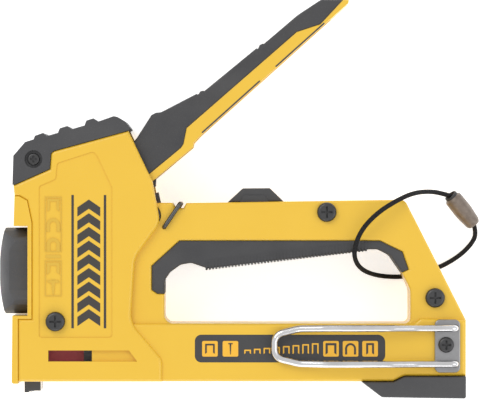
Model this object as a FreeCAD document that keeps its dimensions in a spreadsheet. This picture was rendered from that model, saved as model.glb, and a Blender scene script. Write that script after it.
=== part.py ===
import FreeCAD
import Part
import Sketcher
import math
import os
from FreeCAD import Placement, Rotation, Vector

# A hand staple gun that lies on its side, in millimetres.
# +X runs from the nose to the rear, +Y from the magazine base to the lever, +Z out of the upper side.
# The side faces of the head and of the drawer foot stand on Z = 0; the mid-plane is at Z = head_half.

DIMENSIONS = [
    # alias, value, what it is
    ("head_half", 17.0, "half width of the head, and height of the mid-plane"),
    ("base_half", 15.2, "half width of the magazine base"),
    ("bar_half", 13.5, "half width of the hand bar and the rear strut"),
    ("grip_half", 13.8, "half width of the rubber hand grip"),
    ("wall", 2.5, "thickness of the cast walls"),
    ("head_cavity", 14.5, "depth of the head cavity from the mid-plane"),
    ("base_cavity", 12.7, "depth of the base cavity from the mid-plane"),
    ("bar_cavity", 11.0, "depth of the bar cavity from the mid-plane"),
    ("edge_soft", 1.6, "rounding of the cast outer edges"),
    ("panel_depth", 0.5, "depth of the sunk panel on each side of the head"),
    ("label_depth", 0.5, "depth of the label seat on each side of the base"),
    ("label_thick", 0.4, "thickness of the label plate"),
    ("window_depth", 2.0, "depth of the seat round the magazine window"),
    ("lever_half", 12.5, "half width of the lever"),
    ("lever_core_half", 9.5, "half width of the lever under the rubber"),
    ("lever_void_half", 7.0, "half width of the channel under the lever"),
    ("lever_grip_half", 12.8, "half width of the lever rubber"),
    ("plate_half", 3.5, "half thickness of the steel drive arm"),
    ("pin_radius", 3.0, "radius of the lever pin"),
    ("running_gap", 0.05, "radial clearance of a pin in its bore"),
    ("bush_seat", 5.4, "radius of the seat round the lever pin"),
    ("pin_half", 16.0, "half length of the lever pin"),
    ("boss_radius", 3.6, "radius of the screw bosses"),
    ("screw_radius", 2.4, "radius of the housing screws"),
    ("screw_head_radius", 4.5, "radius of the housing screw heads"),
    ("screw_head_height", 2.6, "height of the housing screw heads"),
    ("magazine_half", 7.2, "half width of the slot for the magazine"),
    ("channel_half", 6.9, "half width of the magazine channel"),
    ("rail_half", 4.4, "half width of the drawer rail"),
    ("pusher_half", 5.6, "half width of the pusher"),
    ("foot_half", 17.0, "half width of the drawer foot"),
    ("blade_half", 5.5, "half width of the driver blade"),
    ("nose_half", 8.0, "half width of the nose guide"),
    ("striker_half", 11.0, "half width of the striker"),
    ("knob_dome", 14.6, "radius of the knob front across its width"),
    ("knob_bow", 68.0, "radius of the knob front along its length"),
    ("spindle_radius", 4.0, "radius of the knob spindle"),
    ("bail_radius", 1.0, "radius of the lock bail wire"),
    ("hook_radius", 1.6, "radius of the belt hook wire"),
    ("hook_plate_thick", 1.5, "thickness of the belt hook plate"),
    ("cord_radius", 1.1, "radius of the lanyard cord"),
    ("clasp_radius", 4.3, "radius of the lanyard clasp"),
]

LEVER_PIVOT = (-36.9, -7.6)
BAIL_PIVOT = (-30.0, -13.1)
BAIL_TOP = (-22.7, -2.3)
KNOB_AXIS_Y = -33.3
SPRING_AXIS_X = -76.0
SCREWS = [(-80.0, -56.5, "head_half"), (44.9, -6.2, "bar_half"), (94.8, -45.7, "bar_half")]
HOOK_SCREW = (99.7, -67.2)
CAP_SCREW = (-90.1, 18.2)
REAR_X = 109.0
BASE_Y = -84.2
TIP_Y = 91.9

document = FreeCAD.newDocument("staple_gun")
sheet = document.addObject("Spreadsheet::Sheet", "Dimensions")
for row, (alias, value, note) in enumerate(DIMENSIONS, 1):
    sheet.set("A%d" % row, note)
    sheet.set("B%d" % row, str(value))
    sheet.setAlias("B%d" % row, alias)
document.recompute()

finished = []


def size(alias):
    return float(getattr(sheet, alias))


MID = size("head_half")


# ---------------------------------------------------------------- helpers

def rounded(points):
    """Edges of a closed outline. A third number on a point rounds that corner."""
    starts, ends, arcs = [], [], []
    for i, point in enumerate(points):
        corner = Vector(point[0], point[1], 0)
        if len(point) < 3:
            starts.append(corner)
            ends.append(corner)
            arcs.append(None)
            continue
        back = (Vector(*points[i - 1][:2], 0) - corner).normalize()
        forth = (Vector(*points[(i + 1) % len(points)][:2], 0) - corner).normalize()
        half = back.getAngle(forth) / 2
        run = point[2] / math.tan(half)
        inward = (back + forth).normalize()
        middle = corner + inward * (point[2] / math.sin(half) - point[2])
        starts.append(corner + back * run)
        ends.append(corner + forth * run)
        arcs.append(Part.Arc(starts[i], middle, ends[i]))
    edges = []
    for i in range(len(points)):
        if arcs[i]:
            edges.append(arcs[i])
        following = starts[(i + 1) % len(points)]
        if (following - ends[i]).Length > 1e-6:
            edges.append(Part.LineSegment(ends[i], following))
    return edges


def new_body(label):
    body = document.addObject("PartDesign::Body", label)
    body.Label = label
    return body


def new_sketch(body, outlines=(), circles=(), role="XY_Plane", height=None):
    """A sketch on one of the body's own planes; height is an expression for its distance from that plane."""
    sketch = body.newObject("Sketcher::SketchObject", body.Label + "_outline")
    plane = next(f for f in body.Origin.OriginFeatures if f.Role == role)
    sketch.AttachmentSupport = (plane, "")
    sketch.MapMode = "FlatFace"
    if height:
        sketch.setExpression(".AttachmentOffset.Base.z", height)
    for outline in outlines:
        sketch.addGeometry(rounded(outline), False)
    for x, y, radius in circles:
        number = sketch.addGeometry(Part.Circle(Vector(x, y, 0), Vector(0, 0, 1), size(radius)), False)
        constraint = sketch.addConstraint(Sketcher.Constraint("Radius", number, size(radius)))
        sketch.setExpression("Constraints[%d]" % constraint, "Dimensions." + radius)
    return sketch


def extrude(kind, body, sketch, length, both_ways=False, backward=False):
    """A Pad or Pocket whose length is an expression."""
    feature = body.newObject("PartDesign::" + kind, body.Label + "_" + kind.lower())
    feature.Profile = sketch
    feature.SideType = "Symmetric" if both_ways else "One side"
    feature.Reversed = backward
    feature.setExpression("Length", length)
    document.recompute()
    return feature


def mid_pad(body, outlines, half, role="XY_Plane"):
    """A pad of an outline, symmetric about the mid-plane."""
    sketch = new_sketch(body, outlines, height="Dimensions.head_half")
    return extrude("Pad", body, sketch, "2 * Dimensions." + half, both_ways=True)


def mid_pocket(body, outlines, half, circles=()):
    """A pocket of an outline, symmetric about the mid-plane."""
    before = body.Shape.Volume
    sketch = new_sketch(body, outlines, circles, height="Dimensions.head_half")
    feature = extrude("Pocket", body, sketch, "2 * " + half, both_ways=True)
    assert body.Shape.Volume < before - 0.01, body.Label + " pocket cuts nothing"
    return feature


def edges_at(shape, height):
    """Names of the edges that lie in the plane Z = height."""
    names = []
    for i, edge in enumerate(shape.Edges, 1):
        box = edge.BoundBox
        if abs(box.ZMin - height) < 1e-4 and abs(box.ZMax - height) < 1e-4:
            names.append("Edge%d" % i)
    return names


def soften(body, heights, radius):
    """Rounds the edges in the planes at these heights, or bevels them where rounding can't be made."""
    base = body.Tip
    names = [name for height in heights for name in edges_at(base.Shape, height)]
    for kind, attribute in (("Fillet", "Radius"), ("Chamfer", "Size")):
        feature = body.newObject("PartDesign::" + kind, body.Label + "_" + kind.lower())
        feature.Base = (base, names)
        feature.setExpression(attribute, radius)
        document.recompute()
        if "Invalid" not in feature.State and not feature.Shape.isNull() and feature.Shape.isValid():
            return feature
        print("no", kind, "on", body.Label)
        body.removeObject(feature)
        document.removeObject(feature.Name)
        body.Tip = base
        document.recompute()
    return base


def keep(thing, label=None):
    """Marks an object of the document as a finished sub-part."""
    if label:
        thing.Label = label
    finished.append(thing)
    return thing


def feature_of(label, shape):
    """A sub-part whose shape is made with Part's own functions."""
    thing = document.addObject("Part::Feature", label)
    thing.Shape = shape
    return keep(thing, label)


def cylinder(name, radius, length, base, direction, extra=0.0):
    """A Part::Cylinder with its radius bound to the sheet."""
    thing = document.addObject("Part::Cylinder", name)
    thing.setExpression("Radius", "Dimensions.%s + %g" % (radius, extra))
    thing.Height = length
    thing.Placement = Placement(Vector(*base), Rotation(Vector(0, 0, 1), Vector(*direction)))
    return thing


def box(name, low, high):
    """A Part::Box from its two corners, given as distances from the mid-plane across the tool."""
    thing = document.addObject("Part::Box", name)
    thing.Length, thing.Width, thing.Height = [high[k] - low[k] for k in range(3)]
    thing.Placement = Placement(Vector(low[0], low[1], low[2] + MID), Rotation())
    thing.setExpression(".Placement.Base.z", "Dimensions.head_half + %g" % low[2])
    return thing


def cut(label, base, *tools):
    """A Part::Cut for each tool in turn."""
    for i, tool in enumerate(tools):
        result = document.addObject("Part::Cut", "%s_cut%d" % (label, i))
        result.Base, result.Tool = base, tool
        base = result
    document.recompute()
    return keep(base, label)


def fuse(name, *shapes):
    result = document.addObject("Part::MultiFuse", name)
    result.Shapes = list(shapes)
    document.recompute()
    return result


def tube(points, radius, bends):
    """A round rod along straight runs joined by tangent arcs, one bend radius for each inner point."""
    places = [Vector(*p) for p in points]
    edges, start = [], places[0]
    for before, corner, after, bend in zip(places, places[1:], places[2:], bends):
        back, forth = (before - corner).normalize(), (after - corner).normalize()
        half = back.getAngle(forth) / 2
        run = bend / math.tan(half)
        inward = (back + forth).normalize()
        middle = corner + inward * (bend / math.sin(half) - bend)
        edges.append(Part.LineSegment(start, corner + back * run).toShape())
        edges.append(Part.Arc(corner + back * run, middle, corner + forth * run).toShape())
        start = corner + forth * run
    edges.append(Part.LineSegment(start, places[-1]).toShape())
    path = Part.Wire(edges)
    heading = (places[1] - places[0]).normalize()
    profile = Part.Wire(Part.makeCircle(radius, places[0], heading))
    solid = path.makePipeShell([profile], True, False)
    expected = math.pi * radius ** 2 * path.Length
    assert abs(solid.Volume / expected - 1) < 0.02, "tube volume is off"
    return solid, path.Length


def coil(mean_radius, wire_radius, pitch, height, base, direction):
    """A helical spring that starts at base and runs along direction."""
    helix = Part.makeHelix(pitch, height, mean_radius)
    profile = Part.Wire(Part.makeCircle(wire_radius, Vector(mean_radius, 0, 0), Vector(0, 1, pitch / 6.2832 / mean_radius)))
    solid = Part.Wire(helix).makePipeShell([profile], True, True)
    solid.Placement = Placement(Vector(*base), Rotation(Vector(0, 0, 1), Vector(*direction)))
    return solid


# ---------------------------------------------------------------- housing

HOUSING_OUTLINE = [
    (-97.2, BASE_Y), (-97.2, -55.4), (-90.9, -55.4), (-90.9, -11.0), (-93.0, -0.8), (-96.6, 1.2),
    (-98.9, 1.2), (-99.4, 6.2), (-82.6, 13.7), (-82.1, 20.8), (-80.8, 22.0), (-46.5, 31.3),
    (-35.3, 7.8), (-33.7, -1.9), (-26.2, -1.9), (-24.9, -4.3), (-21.1, -4.3), (-19.9, -2.0),
    (80.9, -0.4, 3.5), (REAR_X, -55.8, 3.0), (REAR_X, -81.7), (80.5, -81.7), (75.6, BASE_Y),
]
HAND_OPENING = [
    (-29.9, -57.5, 4.0), (83.4, -57.5, 2.5), (83.4, -42.0, 8.0), (79.5, -34.0), (82.6, -32.6), (79.8, -24.5),
    (69.4, -19.4), (-23.0, -19.4), (-35.8, -31.0), (-35.8, -42.0), (-33.2, -43.8), (-29.9, -43.8),
]
HEAD_OUTLINE = [
    (-97.2, BASE_Y), (-97.2, -55.4), (-90.9, -55.4), (-90.9, -11.0), (-93.0, -0.8), (-96.6, 1.2),
    (-98.9, 1.2), (-99.4, 6.2), (-82.6, 13.7), (-82.1, 20.8), (-80.8, 22.0), (-46.5, 31.3),
    (-35.3, 7.8), (-31.8, -11.0, 8.0), (-43.5, -27.0, 12.0), (-45.5, -57.0, 12.0), (-31.0, -74.0, 5.0),
    (-31.0, BASE_Y),
]
BASE_OUTLINE = [
    (-60.0, BASE_Y), (-60.0, -57.5), (85.0, -57.5), (88.0, -55.0), (REAR_X, -55.8), (REAR_X, -81.7),
    (80.5, -81.7), (75.6, BASE_Y),
]
HEAD_CAVITY = [
    (-94.7, -82.0), (-94.7, -57.9), (-89.0, -57.9), (-89.0, 8.2), (-80.0, 12.3), (-79.6, 19.8),
    (-48.5, 28.2), (-45.0, 38.0), (-20.0, 12.0), (-33.4, -0.9), (-38.0, -6.5), (-42.0, -14.0),
    (-49.0, -25.0), (-49.0, -82.0),
]
BAR_CAVITY = [
    (-19.0, -6.5), (78.5, -4.0), (104.0, -53.0), (104.0, -58.0), (87.0, -58.0), (87.0, -41.0),
    (84.0, -34.5), (86.0, -32.0), (83.0, -22.6), (70.5, -16.9), (-19.0, -16.9),
]
PANEL_OUTLINE = [
    (-87.6, -64.0, 1.5), (-87.6, 5.8, 1.5), (-80.0, 9.1, 1.5), (-79.3, 16.4, 1.5), (-62.6, 21.8, 2.0),
    (-60.6, 19.6), (-53.8, 5.2, 2.0), (-53.8, -64.0, 1.5),
]
LABEL_OUTLINE = [(-15.9, -75.4, 3.0), (71.8, -75.4, 3.5), (71.8, -62.6, 3.5), (-15.9, -62.6, 3.0)]
WINDOW_SEAT = [(-83.3, -74.9), (-42.4, -74.9), (-46.2, -69.8), (-83.3, -69.8)]
WINDOW = [(-83.3, -74.9), (-63.3, -74.9), (-63.3, -69.8), (-83.3, -69.8)]


def rectangle(x0, y0, x1, y1):
    return [(x0, y0), (x1, y0), (x1, y1), (x0, y1)]


def housing_half(label, side):
    """One cast half: side is +1 for the upper half and -1 for the lower one."""
    body = new_body(label + "_blank")
    back = side < 0

    def level(alias):
        return MID + side * size(alias)

    def outward(kind, outlines, length, circles=(), start="Dimensions.head_half"):
        before = body.Shape.Volume if body.Tip else 0
        sketch = new_sketch(body, outlines, circles, height=start)
        # a Pocket runs against the sketch's normal, so it is turned the other way round
        feature = extrude(kind, body, sketch, length, backward=(not back) if kind == "Pocket" else back)
        assert abs(body.Shape.Volume - before) > 0.01, label + " feature changes nothing"
        return feature

    def inward(outlines, face, depth):
        before = body.Shape.Volume
        sign = "+" if side > 0 else "-"
        sketch = new_sketch(body, outlines, height="Dimensions.head_half %s Dimensions.%s" % (sign, face))
        extrude("Pocket", body, sketch, depth, backward=back)
        assert body.Shape.Volume < before - 0.01, label + " seat cuts nothing"

    outward("Pad", [HOUSING_OUTLINE, HAND_OPENING], "Dimensions.bar_half")
    soften(body, [level("bar_half")], "Dimensions.edge_soft * 0.75")
    outward("Pad", [BASE_OUTLINE], "Dimensions.base_half")
    soften(body, [level("base_half")], "Dimensions.edge_soft")
    outward("Pad", [HEAD_OUTLINE], "Dimensions.head_half")
    soften(body, [level("head_half")], "Dimensions.edge_soft")

    outward("Pocket", [HEAD_CAVITY], "Dimensions.head_cavity")
    outward("Pocket", [BAR_CAVITY], "Dimensions.bar_cavity")
    outward("Pocket", [rectangle(-40.0, -80.5, 93.0, -60.5)], "Dimensions.base_cavity")
    outward("Pocket", [rectangle(-87.3, -90.0, 112.0, -66.5)], "Dimensions.magazine_half")
    outward("Pocket", [rectangle(-95.1, -90.0, -86.9, -58.2)], "Dimensions.nose_half + 0.3")
    outward("Pocket", [rectangle(-45.0, -17.0, -20.0, 2.0)], "Dimensions.plate_half + 1.5")
    outward("Pocket", [], "Dimensions.head_cavity", circles=[(*LEVER_PIVOT, "bush_seat")])
    outward("Pocket", [rectangle(-92.0, KNOB_AXIS_Y - 4.1, -88.5, KNOB_AXIS_Y + 4.1)], "Dimensions.spindle_radius + 0.1")

    inward([PANEL_OUTLINE], "head_half", "Dimensions.panel_depth")
    inward([LABEL_OUTLINE], "base_half", "Dimensions.label_depth")
    inward([WINDOW_SEAT], "head_half", "Dimensions.window_depth")
    inward([WINDOW], "head_half", "Dimensions.head_half - Dimensions.magazine_half + 0.5")

    # screw bosses, then their holes; the upper half is bored through and the lower one is blind
    for x, y, face in SCREWS:
        outward("Pad", [], "Dimensions.%s - 1" % face, circles=[(x, y, "boss_radius")])
    if side > 0:
        outward("Pocket", [], "Dimensions.head_half + 1", circles=[(x, y, "screw_radius") for x, y, _ in SCREWS])
    else:
        outward("Pocket", [], "9.5", circles=[(x, y, "screw_radius") for x, y, _ in SCREWS])
    pin_hole = document.addObject("Part::Cylinder", label + "_pin_hole")
    pin_hole.setExpression("Radius", "Dimensions.pin_radius + Dimensions.running_gap")
    pin_hole.setExpression("Height", "2 * Dimensions.pin_half + 0.4")
    pin_hole.Placement = Placement(Vector(*LEVER_PIVOT, MID - size("pin_half") - 0.2), Rotation())
    bail_hole = cylinder(label + "_bail_hole", "bail_radius", 40, (*BAIL_PIVOT, MID - 20), (0, 0, 1), 0.05)
    bail_keep = cylinder(label + "_bail_keep", "bail_radius", 20, (*BAIL_PIVOT, MID - 10), (0, 0, 1), 0.05)
    bail_cut = document.addObject("Part::Cut", label + "_bail_bore")
    bail_cut.Base, bail_cut.Tool = bail_hole, bail_keep
    tools = [pin_hole, bail_cut]
    if side > 0:
        tools.append(cylinder(label + "_hook_thread", "cord_radius", 12, (*HOOK_SCREW, MID + 8), (0, 0, 1), 0.9))
        for y in (-59.6, -76.0):
            tools.append(cylinder(label + "_hook_hole", "hook_radius", 8, (104.0, y, MID + 10.5), (0, 0, 1), 0.1))
    return cut(label, body, *tools)


housing_half("housing_upper", +1)
housing_half("housing_lower", -1)

# ---------------------------------------------------------------- covers on the housing

front_cover = new_body("front_cover_blank")
mid_pad(front_cover, [[
    (-98.9, 1.2), (-99.3, -12.6), (-92.9, -12.6), (-92.9, -53.9), (-99.9, -53.9), (-100.2, -85.2, 1.0),
    (-97.2, -85.2), (-97.2, -55.4), (-90.9, -55.4), (-90.9, -11.0), (-93.0, -0.8), (-96.6, 1.2),
]], "head_half")
soften(front_cover, [0.0, 2 * MID], "Dimensions.edge_soft * 0.4")
cut("front_cover", front_cover,
    cylinder("front_cover_bore", "spindle_radius", 12, (-97, KNOB_AXIS_Y, MID), (1, 0, 0), 0.05))

CAP_OUTLINE = [
    (-99.8, 6.4), (-99.4, 19.8), (-94.0, 26.1), (-90.1, 27.3), (-89.4, 29.0, 0.6), (-85.7, 30.3, 0.6),
    (-84.0, 28.8), (-78.9, 30.3), (-78.0, 32.4, 0.6), (-74.5, 33.5, 0.6), (-72.6, 32.0), (-66.6, 33.7),
    (-65.8, 36.0, 0.6), (-62.5, 37.0, 0.6), (-60.4, 35.5), (-53.2, 38.0, 1.2), (-51.4, 37.6), (-47.9, 35.5, 1.5),
    (-45.4, 32.2), (-46.5, 31.3), (-80.8, 22.0), (-82.1, 20.8), (-82.6, 13.7), (-99.0, 6.38),
]
top_cap = new_body("top_cap_blank")
mid_pad(top_cap, [CAP_OUTLINE], "head_half")
soften(top_cap, [0.0, 2 * MID], "0.4 mm")
mid_pocket(top_cap, [[(-78.0, 20.0), (-75.0, 29.0), (-56.0, 34.0), (-51.0, 34.0), (-49.0, 26.0)]], "13")
cap_hole = cylinder("cap_hole", "cord_radius", 20, (*CAP_SCREW, MID - 3), (0, 0, 1), 0.45)
cap_seat = cylinder("cap_seat", "spindle_radius", 10, (*CAP_SCREW, 2 * MID - 1.6), (0, 0, 1), 0.1)
cut("top_cap", top_cap, cap_hole, cap_seat)


def pan_screw(name, place, radius, head_radius, head_height, length, drive):
    """A pan head screw whose head stands on place, with a cross recess."""
    head = Part.makeCylinder(head_radius, head_height, Vector(*place))
    rim = [e for e in head.Edges if abs(e.BoundBox.ZMin - place[2] - head_height) < 1e-4 and e.BoundBox.DiagonalLength > 1]
    head = head.makeFillet(head_height * 0.55, rim)
    shank = Part.makeCylinder(radius, length, Vector(place[0], place[1], place[2] - length))
    tip = Part.makeCone(radius * 0.4, radius, radius, Vector(place[0], place[1], place[2] - length - radius))
    screw = head.fuse([shank, tip])
    top = place[2] + head_height
    for a, b in ((drive, 0.9), (0.9, drive)):
        slot = Part.makeBox(a, b, 2, Vector(place[0] - a / 2, place[1] - b / 2, top - head_height * 0.6))
        screw = screw.cut(slot)
    return screw.removeSplitter()


feature_of("cap_screw", pan_screw("cap_screw", (*CAP_SCREW, 2 * MID - 1.6), 1.5, 2.8, 1.5, 12, 3.0))
feature_of("housing_screws", Part.makeCompound([
    pan_screw("housing_screw", (x, y, MID + size(face)), size("screw_radius") - 0.02, size("screw_head_radius"),
              size("screw_head_height"), size(face) + 6, 5.2)
    for x, y, face in SCREWS]))

# ---------------------------------------------------------------- rubber and labels on the housing

GRIP_OUTLINE = [
    (-29.9, -43.8), (-29.9, -37.6, 3.0), (-27.5, -34.1, 3.0), (-22.5, -30.5, 4.0), (-17.7, -29.6, 4.0),
    (-10.1, -32.2, 4.0), (51.2, -24.9), (64.6, -23.4, 4.0), (68.5, -23.4, 5.0), (74.2, -26.3, 5.0),
    (79.5, -34.0), (82.6, -32.6), (79.8, -24.5), (69.4, -19.4), (-23.0, -19.4), (-35.8, -31.0),
    (-35.8, -42.0), (-33.2, -43.8),
]
hand_grip = keep(new_body("hand_grip"))
mid_pad(hand_grip, [GRIP_OUTLINE], "grip_half")
soften(hand_grip, [MID - size("grip_half"), MID + size("grip_half")], "1.3 mm")


def bar_top(x):
    """Height of the hand bar's top edge."""
    return -2.0 + (x + 19.9) * 1.6 / 100.8


stop_pad = keep(new_body("lever_stop_pad"))
mid_pad(stop_pad, [[(-0.9, bar_top(-0.9)), (6.2, 4.8, 1.0), (18.7, 4.9, 1.0), (25.1, bar_top(25.1))]], "blade_half * 2")
soften(stop_pad, [MID - 11.0, MID + 11.0], "0.8 mm")

feature_of("side_labels", Part.makeCompound([
    Part.Face(Part.Wire([e.toShape() for e in rounded(LABEL_OUTLINE)])).extrude(Vector(0, 0, size("label_thick")))
    .translated(Vector(0, 0, z))
    for z in (MID + size("base_half") - size("label_depth"),
              MID - size("base_half") + size("label_depth") - size("label_thick"))]))

# ---------------------------------------------------------------- magazine, nose and striker

cut("magazine_channel",
    box("channel_block", (-87.2, -81.6, -6.9), (108.6, -66.8, 6.9)),
    box("channel_hollow", (-90.0, -90.0, -5.9), (112.0, -67.8, 5.9)),
    box("channel_window", (-83.8, -75.4, -10.0), (-62.8, -69.3, 10.0)))
cut("nose_guide",
    box("nose_block", (-94.8, -89.6, -8.0), (-87.4, -62.4, 8.0)),
    box("nose_slot", (-89.0, -95.0, -5.8), (-80.0, -50.0, 5.8)),
    box("nose_groove", (-92.3, -95.0, -5.7), (-90.5, -84.3, 5.7)),
    box("nose_step", (-92.9, -95.0, -10.0), (-80.0, -88.8, 10.0)))
keep(box("nose_strip", (-92.2, -89.3, -5.6), (-90.6, -84.3, 5.6)), "nose_strip")
keep(box("striker_damper", (-83.4, -52.8, -9.0), (-64.0, -44.4, 9.0)), "striker_damper")
keep(box("spring_seat", (-82.4, 7.6, -14.3), (-63.5, 10.4, 14.3)), "spring_seat")
feature_of("power_spring", coil(5.6, 1.1, 4.4, 44.0, (SPRING_AXIS_X, -38.0, MID), (0, 1, 0)))

cut("striker",
    box("striker_block", (-84.0, -44.0, -11.0), (-62.6, -12.4, 11.0)),
    cylinder("striker_bore", "spindle_radius", 50, (SPRING_AXIS_X, -39.4, MID), (0, 1, 0), 3.3),
    box("striker_window", (-67.6, -21.8, -4.2), (-60.0, -14.6, 4.2)))

driver_blade = keep(new_body("driver_blade"))
mid_pad(driver_blade, [[
    (-84.0, -40.0), (-85.2, -40.0), (-85.2, -60.8), (-88.7, -60.8), (-88.7, -89.0), (-87.5, -89.0),
    (-87.5, -62.0), (-84.0, -62.0),
]], "blade_half")

# drawer: a rail in the channel and a foot under the housing
cut("drawer_rail",
    box("rail_block", (-87.0, -83.8, -4.4), (107.0, -72.0, 4.4)),
    box("rail_hollow", (-86.0, -83.0, -3.4), (95.0, -70.0, 3.4)))
drawer_foot = keep(new_body("drawer_foot"))
mid_pad(drawer_foot, [[
    (61.0, -84.4), (70.2, -91.4, 2.0), (108.9, -92.0, 1.0), (108.9, -81.9), (80.6, -81.9), (75.6, -84.4),
]], "foot_half")
soften(drawer_foot, [0.0, 2 * MID], "Dimensions.edge_soft * 0.5")
mid_pocket(drawer_foot, [rectangle(55.0, -83.8, 107.0, -80.0)], "Dimensions.rail_half")
keep(box("spring_stop", (88.0, -83.0, -3.3), (91.0, -72.4, 3.3)), "spring_stop")

saddle = document.addObject("Part::Cut", "pusher_saddle")
saddle.Base = box("saddle_block", (-67.5, -82.6, -5.6), (-50.0, -69.2, 5.6))
saddle.Tool = box("saddle_slot", (-70.0, -90.0, -4.6), (-45.0, -71.7, 4.6))
keep(fuse("pusher", saddle, box("pusher_tongue", (-54.0, -81.5, -3.1), (-50.0, -71.0, 3.1))), "pusher")
cut("indicator_flag",
    box("flag_block", (-83.7, -82.6, -5.5), (-67.5, -69.4, 5.5)),
    box("flag_slot", (-90.0, -90.0, -4.6), (-60.0, -71.7, 4.6)))
feature_of("pusher_spring", coil(2.3, 0.35, 6.0, 136.0, (-49.2, -77.5, MID), (1, 0, 0)))

# ---------------------------------------------------------------- lever

CORE_OUTLINE = [
    (-38.0, 10.5), (-42.5, 23.0), (-33.5, 35.5), (-15.5, 45.0), (12.0, 66.0), (30.0, 81.0),
    (42.0, 87.5), (49.5, 88.6), (42.0, 80.5), (31.1, 76.9), (-19.7, 32.6), (-21.2, 25.2), (-22.4, 23.4),
]
LEVER_BAND = [
    (52.6, TIP_Y), (55.2, 91.8), (55.0, 90.3), (-12.6, 29.7), (-16.4, 25.8), (-16.8, 23.7), (-35.7, 7.9),
    (-38.0, 10.5), (-22.4, 23.4), (-21.2, 25.2), (-19.7, 32.6), (31.1, 76.9), (42.0, 80.5),
]
lever_arm = keep(new_body("lever_arm"))
mid_pad(lever_arm, [LEVER_BAND], "lever_half")
soften(lever_arm, [MID - size("lever_half"), MID + size("lever_half")], "0.35 mm")
mid_pad(lever_arm, [CORE_OUTLINE], "lever_core_half")
mid_pocket(lever_arm, [[
    (-46.0, 8.0), (-40.0, 20.0), (-32.0, 31.5), (-14.0, 41.5), (13.0, 62.3), (31.0, 77.0), (44.0, 83.0),
    (62.0, 86.0), (20.0, 30.0), (-20.0, 0.0),
]], "Dimensions.lever_void_half")

lever_grip = keep(new_body("lever_grip"))
mid_pad(lever_grip, [[
    (-39.5, 9.8), (-46.0, 24.0), (-42.6, 28.2), (-36.0, 38.6), (-34.0, 39.7, 0.6), (-31.6, 39.9, 2.0), (-15.2, 48.4),
    (-14.4, 48.1), (-13.4, 49.6), (-12.1, 49.9), (-11.6, 49.7), (12.4, 69.4), (13.2, 69.2), (13.9, 70.9),
    (15.2, 71.6), (15.9, 71.5), (31.4, 84.7, 30.0), (42.3, TIP_Y, 2.0), (52.6, TIP_Y), (42.0, 80.5), (31.1, 76.9),
    (-19.7, 32.6), (-21.2, 25.2), (-22.4, 23.4), (-38.0, 10.5),
]], "lever_grip_half")
soften(lever_grip, [MID - size("lever_grip_half"), MID + size("lever_grip_half")], "1 mm")
mid_pocket(lever_grip, [CORE_OUTLINE], "Dimensions.lever_core_half")
mid_pocket(lever_grip, [rectangle(-44.0, 8.0, -36.0, 19.5)], "(Dimensions.plate_half + 0.4)")

drive_arm = new_body("drive_arm_plate")
mid_pad(drive_arm, [[
    (-64.9, -15.3, 1.6), (-64.0, -19.6, 1.6), (-59.4, -17.6), (-45.1, -14.4, 5.0), (-37.0, -14.2, 4.0),
    (-30.3, -12.0, 3.0), (-31.6, -3.0, 2.0), (-32.9, 2.8), (-34.2, 6.0), (-34.0, 9.5), (-27.0, 19.5),
    (-30.0, 27.5), (-39.5, 18.0), (-43.0, 4.0), (-44.0, -7.0, 3.0), (-60.0, -14.4), (-62.6, -14.7, 1.0),
]], "plate_half")
CATCH_CENTRE = (-28.1, -7.4)


def arc_slot(centre, inner, outer, first, last):
    """A closed outline between two arcs about a centre, as a chain of short chords."""
    steps = [first + (last - first) * i / 8 for i in range(9)]
    ring = [(outer, a) for a in steps] + [(inner, a) for a in reversed(steps)]
    return [(centre[0] + r * math.cos(math.radians(a)), centre[1] + r * math.sin(math.radians(a))) for r, a in ring]


mid_pocket(drive_arm, [arc_slot(CATCH_CENTRE, 11.6, 14.5, 82.0, 124.0)], "Dimensions.plate_half")
pin_bore = document.addObject("Part::Cylinder", "arm_pin_bore")
pin_bore.setExpression("Radius", "Dimensions.pin_radius + Dimensions.running_gap")
pin_bore.Height = 20
pin_bore.Placement = Placement(Vector(*LEVER_PIVOT, MID - 10), Rotation())
cut("drive_arm", drive_arm, pin_bore)

# two cross pins hold the drive arm in the lever channel
feature_of("lever_cross_pins", Part.makeCompound([
    Part.makeCylinder(1.5, 3.4, Vector(x, y, MID + z))
    for x, y in ((-33.0, 20.0),)
    for z in (3.55, -6.95)]))

lever_pin = keep(cylinder("lever_pin", "pin_radius", 32, (*LEVER_PIVOT, MID - 16), (0, 0, 1)), "lever_pin")
lever_pin.setExpression("Height", "2 * Dimensions.pin_half")
bushes = []
for low, high in ((12.0, 14.4), (-14.4, -3.9)):
    ring = Part.makeCylinder(5.0, high - low, Vector(*LEVER_PIVOT, MID + low))
    bushes.append(ring.cut(Part.makeCylinder(3.02, 40, Vector(*LEVER_PIVOT, MID - 20))))
feature_of("pivot_bushes", Part.makeCompound(bushes))
feature_of("lever_return_spring", coil(4.1, 0.6, 2.1, 6.3, (*LEVER_PIVOT, MID + 4.6), (0, 0, 1)))

# ---------------------------------------------------------------- wire lock bail

bail_points = [
    (*BAIL_PIVOT, MID + 10.6), (*BAIL_PIVOT, MID + 15.0), (*BAIL_TOP, MID + 15.0),
    (*BAIL_TOP, MID - 15.0), (*BAIL_PIVOT, MID - 15.0), (*BAIL_PIVOT, MID - 10.6),
]
feature_of("lock_bail", tube(bail_points, size("bail_radius"), [1.6] * 4)[0])

# ---------------------------------------------------------------- front knob

knob_half = [(19.9, 4.0, 1.5), (18.5, 7.7, 1.5), (15.6, 12.1, 1.5), (13.2, 12.9, 1.5), (11.0, 11.8, 1.5), (9.0, 11.0)]
knob_outline = knob_half + [(-p[0], *p[1:]) for p in reversed(knob_half)]
knob_outline = knob_outline + [(p[0], -p[1], *p[2:]) for p in reversed(knob_outline)]
knob_face = Part.Face(Part.Wire([e.toShape() for e in rounded(knob_outline)]))
knob_bar = knob_face.extrude(Vector(0, 0, -15.5))
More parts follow.
